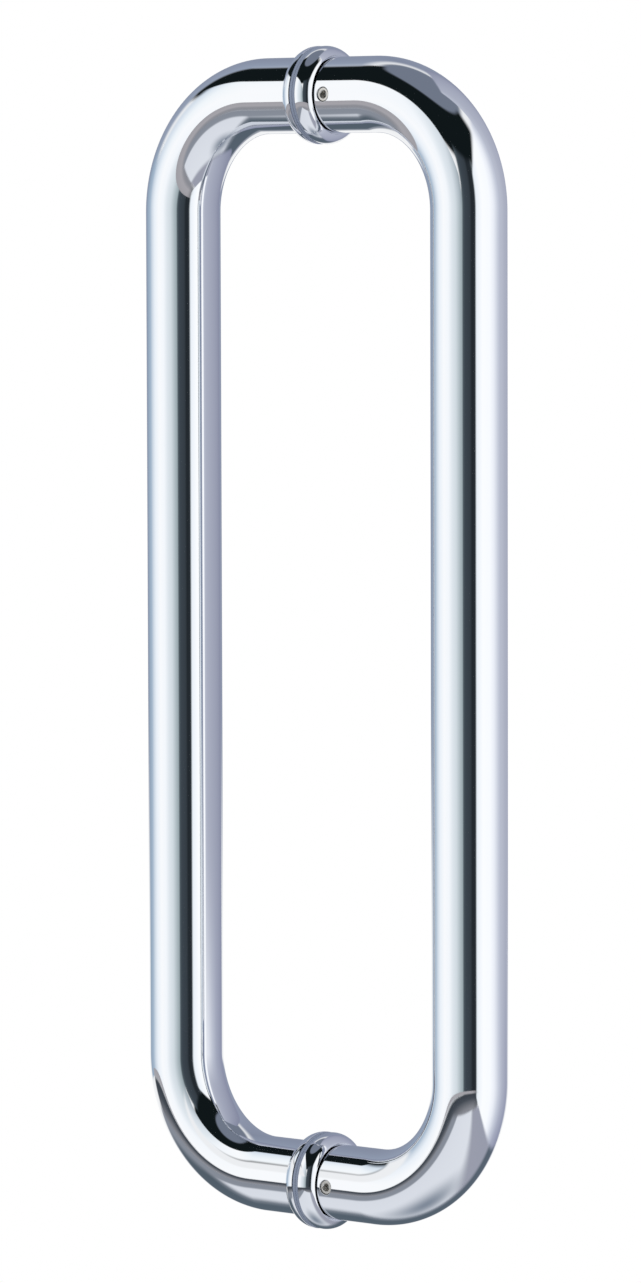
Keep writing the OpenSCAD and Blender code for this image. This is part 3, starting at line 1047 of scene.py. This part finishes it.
def hang_lamp(studio):
    """One broad soft lamp above and to the camera's left. The metal doesn't show it."""
    data = bpy.data.lights.new("soft_lamp", "AREA")
    data.shape = "SQUARE"
    data.size = 1.6
    data.energy = studio.lamp_watts
    lamp = bpy.data.objects.new("soft_lamp", data)
    bpy.context.scene.collection.objects.link(lamp)
    lamp.location = toward(studio.azimuth - math.radians(35)) * 1.5 + Vector((0, 0, 2.0))
    lamp.rotation_euler = (-lamp.location).to_track_quat("-Z", "Y").to_euler()
    lamp.visible_camera = False
    lamp.visible_glossy = False
    lamp.visible_transmission = False


class DOORPULL_OT_tubes(bpy.types.Operator):
    """Builds both bent tubes and gives them their mirror polish"""

    bl_idname = "door_pull.tubes"
    bl_label = "Polished Tubes"

    def execute(self, context):
        material = mirror_polished_stainless(context.scene.door_pull_finish)
        for side_name in SIDES:
            make_tube(side_name, context.scene.door_pull_sizes, material)
        return {"FINISHED"}


class DOORPULL_OT_collars(bpy.types.Operator):
    """Turns and plates the four dished collars"""

    bl_idname = "door_pull.collars"
    bl_label = "Dished Collars"

    def execute(self, context):
        material = chrome_plated_turned_brass(context.scene.door_pull_finish)
        outline = collar_outline(context.scene.door_pull_sizes)
        for side_name, side in SIDES.items():
            for level_name, level in LEVELS.items():
                name = side_name + "_" + level_name
                lathe(name + "_dished_collar", outline, side, level, material, name + "_collar")
        return {"FINISHED"}


class DOORPULL_OT_gaskets(bpy.types.Operator):
    """Moulds the four soft gaskets"""

    bl_idname = "door_pull.gaskets"
    bl_label = "Soft Gaskets"

    def execute(self, context):
        material = moulded_soft_pvc(context.scene.door_pull_finish)
        outline = gasket_outline(context.scene.door_pull_sizes)
        for side_name, side in SIDES.items():
            for level_name, level in LEVELS.items():
                name = side_name + "_" + level_name
                lathe(name + "_soft_gasket", outline, side, level, material, name + "_gasket")
        return {"FINISHED"}


class DOORPULL_OT_fixings(bpy.types.Operator):
    """Threads the two studs and finishes the plugs and sleeves round them"""

    bl_idname = "door_pull.fixings"
    bl_label = "Studs, Plugs and Sleeves"

    def execute(self, context):
        steel = turned_zinc_plated_steel(context.scene.door_pull_finish)
        nylon = moulded_nylon(context.scene.door_pull_finish)
        for level_name in LEVELS:
            make_stud(level_name, context.scene.door_pull_sizes, steel)
            dress(level_name + "_sleeve", nylon)
            for side_name in SIDES:
                dress(side_name + "_" + level_name + "_plug", steel)
        return {"FINISHED"}


class DOORPULL_OT_set_screws(bpy.types.Operator):
    """Makes the two cone-point set screws"""

    bl_idname = "door_pull.set_screws"
    bl_label = "Set Screws"

    def execute(self, context):
        material = cold_formed_stainless(context.scene.door_pull_finish)
        for level_name in LEVELS:
            make_set_screw(level_name, context.scene.door_pull_sizes, material)
        return {"FINISHED"}


class DOORPULL_OT_studio(bpy.types.Operator):
    """Sets up the camera, the floor, the light and the cards that the metal reflects"""

    bl_idname = "door_pull.studio"
    bl_label = "Studio"

    def execute(self, context):
        studio = context.scene.door_pull_studio
        context.scene.view_settings.view_transform = "Standard"
        aim_camera(studio)
        make_world(studio)
        lay_floor(studio)
        hang_lamp(studio)
        hang_cards(studio)
        return {"FINISHED"}


OPERATORS = (
    DOORPULL_OT_tubes,
    DOORPULL_OT_collars,
    DOORPULL_OT_gaskets,
    DOORPULL_OT_fixings,
    DOORPULL_OT_set_screws,
    DOORPULL_OT_studio,
)


class DOORPULL_PT_panel(bpy.types.Panel):
    """Lists the steps that dress the pull"""

    bl_idname = "DOORPULL_PT_panel"
    bl_label = "Door Pull"
    bl_space_type = "VIEW_3D"
    bl_region_type = "UI"
    bl_category = "Door Pull"

    def draw(self, context):
        for group in (context.scene.door_pull_sizes, context.scene.door_pull_finish,
                      context.scene.door_pull_studio):
            box = self.layout.box()
            for name in group.__annotations__:
                box.prop(group, name)
        for operator in OPERATORS:
            self.layout.operator(operator.bl_idname)


GROUPS = {
    "door_pull_sizes": PullSizes,
    "door_pull_finish": PullFinish,
    "door_pull_studio": PullStudio,
}


def register():
    """Registers the property groups, the operators and the panel."""
    for name, group in GROUPS.items():
        bpy.utils.register_class(group)
        setattr(bpy.types.Scene, name, bpy.props.PointerProperty(type=group))
    for operator in OPERATORS:
        bpy.utils.register_class(operator)
    bpy.utils.register_class(DOORPULL_PT_panel)


def unregister():
    """Takes back what register() added."""
    bpy.utils.unregister_class(DOORPULL_PT_panel)
    for operator in reversed(OPERATORS):
        bpy.utils.unregister_class(operator)
    for name, group in GROUPS.items():
        delattr(bpy.types.Scene, name)
        bpy.utils.unregister_class(group)


def main():
    """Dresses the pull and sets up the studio."""
    register()
    bpy.ops.door_pull.tubes()
    bpy.ops.door_pull.collars()
    bpy.ops.door_pull.gaskets()
    bpy.ops.door_pull.fixings()
    bpy.ops.door_pull.set_screws()
    bpy.ops.door_pull.studio()


if __name__ == "__main__":
    main()
